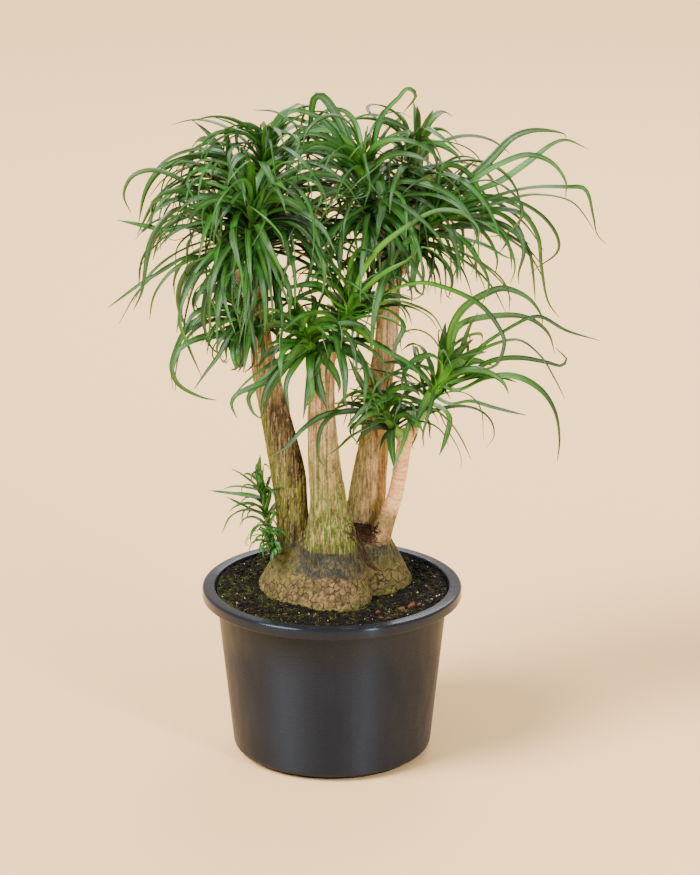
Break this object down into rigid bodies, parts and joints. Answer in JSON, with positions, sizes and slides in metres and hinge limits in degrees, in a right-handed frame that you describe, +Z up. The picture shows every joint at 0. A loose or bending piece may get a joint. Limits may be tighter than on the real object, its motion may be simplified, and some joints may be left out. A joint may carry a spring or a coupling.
{
  "type": "potted ponytail palm",
  "caption": "Multi-stemmed ponytail palm with a swollen cracked base and heads of arching strap leaves, in a round tapered plastic planter.",
  "frame": {"origin": "middle of the pot's flat foot, on the surface that the pot stands on", "axes": "+Z up, -Y towards the side of the plant that the picture shows, +X to its right"},
  "size_m": [0.7519, 0.5164, 1.0441],
  "materials": {
    "pot": "satin charcoal black",
    "soil": "rough crumbly potting soil",
    "bark": "rough fissured corky bark",
    "leaf": "satin green leaf"
  },
  "bodies": {
    "root": {"pot": "pot", "soil": "soil", "trunk": "bark", "head_a": "leaf", "head_b": "leaf", "head_c": "leaf", "head_d": "leaf", "head_e": "leaf", "head_f": "leaf", "head_g": "leaf", "head_h": "leaf", "head_i": "leaf", "head_j": "leaf", "head_k": "leaf", "head_l": "leaf", "head_m": "leaf", "head_p": "leaf", "shoot_n": "leaf", "shoot_o": "leaf"}
  },
  "joints": []
}
